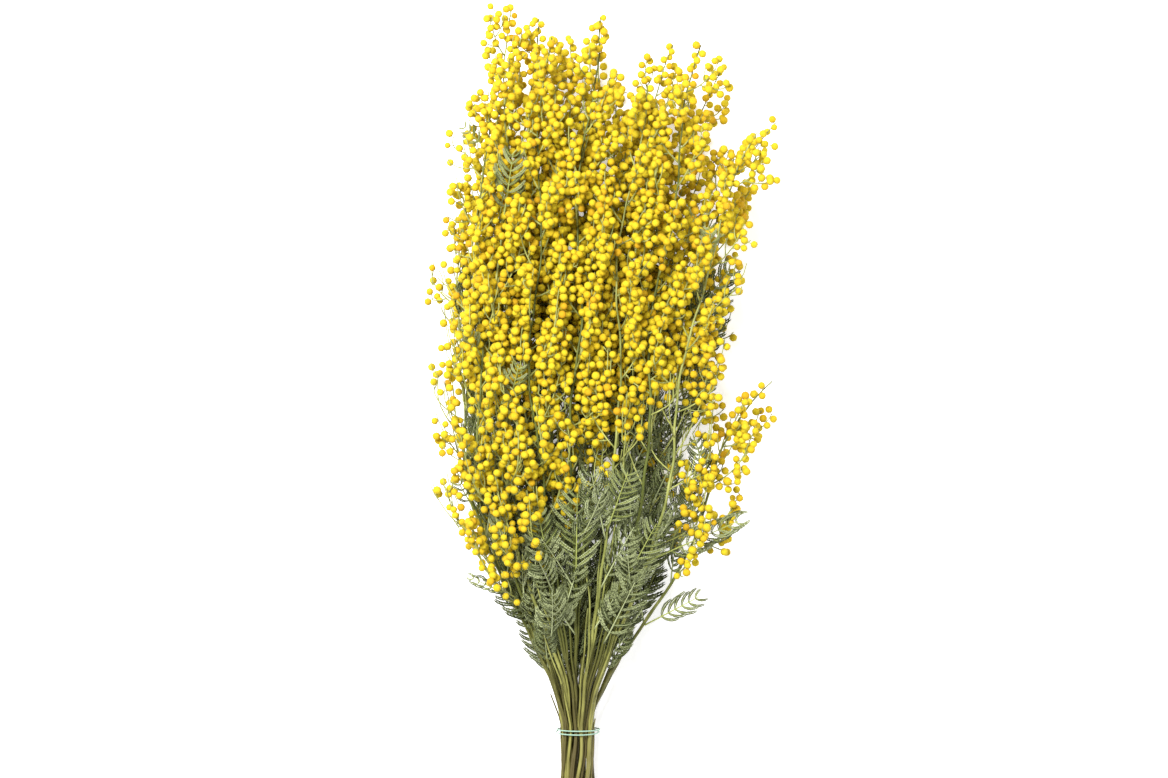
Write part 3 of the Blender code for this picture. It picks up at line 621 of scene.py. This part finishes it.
def grown_racemes(k, branches, length, azimuth, draw):
    """Racemes (n, RACEME_NODES, 3) of sprig k, with their lengths and the numbers of their branches.

    They leave a branch on alternate sides. The end of each branch is a raceme too, and so is the sprig's top,
    whose number is one past the last branch.
    """
    count, tip_y = len(branches), SPRIGS[k, 2]
    where = 0.012 + RACEME_PITCH * np.arange(MOST_RACEMES)
    where = where + draw.uniform(-0.002, 0.002, (count, MOST_RACEMES))
    used = where < length[:, None] - 0.016
    share = where / length[:, None]
    points, heading = (part[used] for part in along(branches, share))
    turns = np.pi * np.arange(MOST_RACEMES) + draw.uniform(-0.9, 0.9, (count, MOST_RACEMES))
    outward = outward_at((azimuth[:, None] + turns)[used], heading)
    raceme_length = draw.uniform(0.014, 0.030, len(points)) * (1.15 - 0.4 * share[used])
    lean = draw.uniform(38.0, 60.0, len(points))
    racemes = bent_lines(points, heading, outward, raceme_length, lean, 14.0, RACEME_NODES)
    racemes = bent_clear(k, racemes, RACEME_BEYOND)
    ends = np.minimum(0.9, TIP_RACEME / length)[:, None] * np.linspace(-1.0, 0.0, RACEME_NODES) + 1.0
    tips = along(branches, ends)[0]
    top = sprig_line(k, np.linspace(tip_y - TOP_RACEME, tip_y - 0.002, RACEME_NODES))[None]
    racemes = np.concatenate([racemes, tips, top])
    raceme_length = np.concatenate([raceme_length, np.minimum(0.9 * length, TIP_RACEME), [TOP_RACEME]])
    return racemes, raceme_length, np.concatenate([np.nonzero(used)[0], np.arange(count + 1)])


def grown_heads(k, racemes, raceme_length, draw):
    """The middles of the flower heads of sprig k, the feet of their stalks and the numbers of their racemes.

    Heads follow one another round a raceme, 2.6 radians apart, and stand off it and a little towards its end.
    Those that would hide the lower stem of a front sprig are left out.
    """
    where = 0.003 + HEAD_PITCH * np.arange(MOST_HEADS)
    where = where + draw.uniform(-0.0006, 0.0006, (len(racemes), MOST_HEADS))
    used = where < raceme_length[:, None] + 0.001
    points, heading = (part[used] for part in along(racemes, where / raceme_length[:, None]))
    side = draw.uniform(0.0, 6.28, (len(racemes), 1)) + 2.6 * np.arange(MOST_HEADS)
    side = side + draw.uniform(-0.4, 0.4, used.shape)
    towards = unit(0.85 * outward_at(side[used], heading) + 0.5 * heading)
    heads = points + STALK * draw.uniform(0.8, 1.15, (len(points), 1)) * towards
    heads[:, 2] = np.maximum(heads[:, 2], HEAD_R + 0.0003)
    own = sprig_line(k, heads[:, 1])
    above = (abs(heads[:, 0] - own[:, 0]) < FRONT_STEM_HALF) & (heads[:, 2] > own[:, 2])
    clear = ~(above & (heads[:, 1] < FRONT_STEM_TOP_Y) & (SPRIGS[k, 3] > FRONT_Z))
    return heads[clear], points[clear], np.nonzero(used)[0][clear]


flowers, green_lines = [], []
for k in range(len(SPRIGS)):
    draw = np.random.default_rng(BRANCH_SEED + k)
    branches, length, azimuth = grown_branches(k, draw)
    racemes, raceme_length, bearer = grown_racemes(k, branches, length, azimuth, draw)
    heads, stalk_feet, on_raceme = grown_heads(k, racemes, raceme_length, draw)
    flowers.append((heads, stalk_feet, on_raceme, np.full(len(heads), k)))
    green_lines.append((branches, racemes, bearer))
flower_places, stalk_roots, flower_racemes, flower_sprigs = (np.concatenate(part) for part in zip(*flowers))


LEFT_EDGE_X, RIGHT_EDGE_X, LEFT_SIDE_X = -0.116, 0.088, -0.01
HOLLOW_Y, HOLLOW_HALF, LOWER_Y = 0.10, 0.06, 0.06

# Share, middle x, middle y, half width, half length and lowest z of the two ovals where leaves show.
OPEN_OVALS = ((1.2, 0.024, -0.064, 0.042, 0.068, 0.045), (0.9, 0.062, 0.0, 0.028, 0.042, 0.0))


def even(over, width):
    """0 where over is below 0, 1 where it is past width, and even between them."""
    return np.clip(over / width, 0.0, 1.0)


def openness(x, y, z):
    """The share of flower heads that is left out at a place, because the bunch is more open there.

    The places are, in this order, the left edge and the lower inside, the hollow in the right edge, two ovals
    in the lower middle, where a share * exp(-(across / half width) ^ 2 - (along / half length) ^ 2) gives way
    to leaves, and the lower left.
    """
    spare = (0.70 - 0.45 * (y < 0.05)) * even(LEFT_EDGE_X - x, 0.03) + 0.25 * (z < 0.085) * (y < 0.10)
    spare += 0.60 * even(x - RIGHT_EDGE_X, 0.02) * (abs(y - HOLLOW_Y) < HOLLOW_HALF)
    for share, oval_x, oval_y, half_width, half_length, lowest_z in OPEN_OVALS:
        across, lengthwise = (x - oval_x) / half_width, (y - oval_y) / half_length
        spare += share * np.exp(-(across**2) - lengthwise**2) * (z > lowest_z)
    spare += (0.28 + 0.30 * (z < 0.09)) * even(LEFT_SIDE_X - x, 0.03) * even(LOWER_Y - y, 0.06)
    return spare


def cell_of(points, step):
    """The number of the LEAF_ROOM cube that each point lies in, or of the cube some steps beside it."""
    cells = np.floor(points / LEAF_ROOM).astype(np.int64) + step + 500
    return cells @ np.array([1, 1000, 1000000])


def uncrowded(points, apart):
    """Which points to keep so that no two are nearer than apart. Of a near pair, the lower lot stays."""
    order = np.argsort(points[:, 1])
    sorted_points = points[order]
    lot = np.random.default_rng(7).permutation(len(points))[order]
    keep = np.ones(len(points), bool)
    for shift in range(1, len(points)):
        step = sorted_points[shift:] - sorted_points[:-shift]
        if step[:, 1].min() > apart:
            break
        near = (step**2).sum(axis=1) < apart**2
        keep[shift:] &= ~(near & (lot[shift:] > lot[:-shift]))
        keep[:-shift] &= ~(near & (lot[shift:] < lot[:-shift]))
    kept = np.empty(len(points), bool)
    kept[order] = keep
    return kept


lot = np.random.default_rng(11).uniform(size=len(flower_places))
kept = uncrowded(flower_places, HEAD_SPACING) & (lot > openness(*flower_places.T))
leaf_cells = np.unique(cell_of(np.concatenate(leaf_places), 0))
near_leaf = [np.isin(cell_of(flower_places, np.array(step) - 1), leaf_cells) for step in np.ndindex(3, 3, 3)]
kept &= ~np.any(near_leaf, axis=0)
flower_places, stalk_roots = flower_places[kept], stalk_roots[kept]
flower_racemes, flower_sprigs = flower_racemes[kept], flower_sprigs[kept]

# Only the racemes that bear heads are made, and only the branches that bear such racemes. The last racemes
# lie on the ends of the branches and on the top of the sprig, which are there already.
for k, (branches, racemes, bearer) in enumerate(green_lines):
    mine = flower_sprigs == k
    count = len(branches)
    flowering = np.bincount(flower_racemes[mine], minlength=len(racemes)) > 0
    branches = branches[np.bincount(bearer[flowering], minlength=count + 1)[:count] > 0]
    racemes = racemes[: -count - 1][flowering[: -count - 1]]
    stalks = np.stack([stalk_roots[mine], flower_places[mine]], axis=1)
    shape = joined([
        tubes(branches, np.linspace(*BRANCH_R, BRANCH_NODES)[None], 5),
        tubes(racemes, np.linspace(*RACEME_R, RACEME_NODES)[None], 4),
        tubes(stalks, np.array([STALK_R]), 3),
    ])
    tint = np.full(len(shape[0]), BRANCH_TINT)
    add_piece(f"branches_{k + 1:02d}", shape, stem_finish, (f"spray_{k + 1:02d}",), tint)

# Flower heads. Fluffy yellow balls 6 to 7 mm across, each a tuft of fine stamens at the end of a thin stalk.
# They run from lemon to deep golden yellow, and some are nearer orange.

HEAD_SEED, HEAD_LOWEST_Z = 500, 0.0002
GOLDEN_RATIO = (1.0 + 5.0**0.5) / 2.0
LEMON, GOLD = (0.66, 0.54, 0.016), (0.63, 0.42, 0.007)
ORANGE, FLUFF_SHADE = (0.58, 0.29, 0.005), (0.42, 0.28, 0.006)


def signed(*sizes):
    """Every point whose coordinates are these sizes, each with a plus or a minus."""
    return np.array(list(np.ndindex(*(2,) * len(sizes)))) * 2.0 * sizes - sizes


def round_axes(first, second):
    """The 12 points (0, +-first, +-second), and the same with the coordinates moved on by one and by two."""
    points = np.insert(signed(first, second), 0, 0.0, axis=1)
    return np.concatenate([np.roll(points, shift, axis=1) for shift in range(3)])


# A ball of 60 triangles: each of the 12 faces of a dodecahedron is a low pyramid. Its corners are the 12
# tops, which are an icosahedron's corners, and the dodecahedron's own 20.
pyramid_tops = unit(round_axes(GOLDEN_RATIO, 1.0))
pyramid_feet = unit(np.concatenate([signed(1.0, 1.0, 1.0), round_axes(1.0 / GOLDEN_RATIO, GOLDEN_RATIO)]))
on_face = pyramid_tops @ pyramid_feet.T > 0.79
beside = (pyramid_feet @ pyramid_feet.T > 0.74) & ~np.eye(len(pyramid_feet), dtype=bool)
top, foot, next_foot = np.nonzero(on_face[:, :, None] & on_face[:, None] & beside[None])
normal = np.cross(pyramid_feet[foot], pyramid_feet[next_foot])
outward = (pyramid_tops[top] * normal).sum(axis=1) > 0.0
ball_faces = np.stack([top, foot + len(pyramid_tops), next_foot + len(pyramid_tops)], axis=1)[outward]
ball = np.concatenate([1.03 * pyramid_tops, 0.985 * pyramid_feet])

head_finish, shade, feed = material("mimosa_head", 0.85)
tint, fluff = own_tint(shade), noise(shade, 1500.0, 2.0)
yellow = tint.ramp(0.94, 1.0).mix(tint.ramp(0.25, 1.0).mix(LEMON, GOLD), ORANGE)
feed("Base Color", fluff.ramp(0.25, 0.70).mix(FLUFF_SHADE, yellow))
feed("Normal", relief(shade, 0.7, 0.0005, fluff))

for k in range(len(SPRIGS)):
    draw = np.random.default_rng(HEAD_SEED + k)
    places = flower_places[flower_sprigs == k]
    count = len(places)
    w, x, y, z = unit(draw.normal(size=(count, 4))).T
    spin = np.array([
        [1 - 2 * (y * y + z * z), 2 * (x * y - z * w), 2 * (x * z + y * w)],
        [2 * (x * y + z * w), 1 - 2 * (x * x + z * z), 2 * (y * z - x * w)],
        [2 * (x * z - y * w), 2 * (y * z + x * w), 1 - 2 * (x * x + y * y)],
    ]).transpose(2, 0, 1)
    size = HEAD_R * np.clip(draw.normal(1.0, 0.07, count), 0.78, 1.12)
    vertices = places[:, None] + size[:, None, None] * np.einsum("nij,vj->nvi", spin, ball)
    vertices[..., 2] = np.maximum(vertices[..., 2], HEAD_LOWEST_Z)
    faces = (ball_faces[None] + len(ball) * np.arange(count)[:, None, None]).reshape(-1, 3)
    tint = np.repeat(draw.uniform(0.0, 1.0, count), len(ball))
    shape = vertices.reshape(-1, 3), [faces]
    add_piece(f"heads_{k + 1:02d}", shape, head_finish, (f"spray_{k + 1:02d}",), tint)

# Elastic band. One pale green loop of smooth elastic, wound twice round the stems and held by its own
# stretch. Its two turns lie side by side and cross once behind.

BAND_GREEN = (0.30, 0.46, 0.36, 1.0)
BAND_R, BAND_SIDES, BAND_NODES = 0.0006, 10, 240
STEM_ROOM, BAND_GAP, BAND_LAP = 0.0022, 0.0004, 0.00068
BAND_APART, BAND_TILT = 0.0017, 0.0012

# The loop's distance from the bundle's middle is reach + lap * sin(turns / 2), so that one turn passes over
# the other. Along the stems it is at apart * cos(turns / 2) - tilt * cos(turns) from the band's middle.
turns = np.linspace(0.0, 4.0 * np.pi, BAND_NODES, endpoint=False)
reach = SLOT_RADIUS + STEM_ROOM + BAND_GAP + BAND_R + BAND_LAP + BAND_LAP * np.sin(turns / 2.0)
loop_y = BAND_Y + BAND_APART * np.cos(turns / 2.0) - BAND_TILT * np.cos(turns)
loop = np.stack([BUNDLE_X + reach * np.sin(turns), loop_y, BUNDLE_Z + reach * np.cos(turns)], axis=1)
tangent = unit(np.roll(loop, -1, axis=0) - np.roll(loop, 1, axis=0))
first = unit(np.cross(tangent, (0.0, 1.0, 0.0)))
second = np.cross(tangent, first)
around = 2.0 * np.pi * np.arange(BAND_SIDES)[:, None] / BAND_SIDES
rings = loop[:, None] + BAND_R * (np.cos(around) * first[:, None] + np.sin(around) * second[:, None])
index = np.arange(BAND_NODES * BAND_SIDES).reshape(BAND_NODES, BAND_SIDES)
after, beside = np.roll(index, -1, axis=0), np.roll(index, -1, axis=1)
quads = np.stack([index, beside, np.roll(after, -1, axis=1), after], axis=-1).reshape(-1, 4)
band_finish, _, _ = material("band_elastic", 0.40)
band_finish.node_tree.nodes["Principled BSDF"].inputs["Base Color"].default_value = BAND_GREEN
add_piece("band", (rings.reshape(-1, 3), [quads]), band_finish, ("elastic_band",))

# Studio. A white floor under a wide soft light, with a weaker one from the other side and white all round.
# The camera looks straight down from high above.

FLOOR_HALF, FLOOR_Z, FLOOR_GLOW, SKY_GLOW = 4.0, -0.0002, 0.46, 0.46
FLOOR_WHITE, PURE_WHITE = (0.93, 0.93, 0.93, 1.0), (1.0, 1.0, 1.0, 1.0)
CAMERA_PLACE, CAMERA_LENS = (-0.022, 0.027, 4.748), 160.0

# Name, place, turn in radians, width and power in watts of each light.
LIGHTS = (
    ("key_light", (-0.75, 0.85, 2.2), (-0.37, -0.33, 0.0), 1.0, 114.0),
    ("fill_light", (1.4, -0.6, 1.8), (0.32, 0.66, 0.0), 2.2, 20.0),
)

floor_finish, _, _ = material("white_floor", 0.9)
floor_shader = floor_finish.node_tree.nodes["Principled BSDF"]
floor_shader.inputs["Base Color"].default_value = FLOOR_WHITE
floor_shader.inputs["Emission Color"].default_value = PURE_WHITE
floor_shader.inputs["Emission Strength"].default_value = FLOOR_GLOW
floor_corners = [(FLOOR_HALF * x, FLOOR_HALF * y, FLOOR_Z) for x, y in ((-1, -1), (1, -1), (1, 1), (-1, 1))]
floor_mesh = bpy.data.meshes.new("floor")
floor_mesh.from_pydata(floor_corners, [], [(0, 1, 2, 3)])
floor_mesh.materials.append(floor_finish)
floor = bpy.data.objects.new("floor", floor_mesh)
bpy.context.scene.collection.objects.link(floor)

for name, place, turn, width, power in LIGHTS:
    light = bpy.data.lights.new(name, "AREA")
    light.shape, light.size, light.energy = "DISK", width, power
    lamp = bpy.data.objects.new(name, light)
    lamp.location, lamp.rotation_euler = place, turn
    bpy.context.scene.collection.objects.link(lamp)

world = bpy.data.worlds.new("studio")
world.use_nodes = True
world.node_tree.nodes["Background"].inputs["Color"].default_value = PURE_WHITE
world.node_tree.nodes["Background"].inputs["Strength"].default_value = SKY_GLOW
bpy.context.scene.world = world
bpy.context.scene.view_settings.view_transform = "Standard"

lens = bpy.data.cameras.new("camera")
lens.lens = CAMERA_LENS
camera = bpy.data.objects.new("camera", lens)
camera.location = CAMERA_PLACE
bpy.context.scene.collection.objects.link(camera)
bpy.context.scene.camera = camera
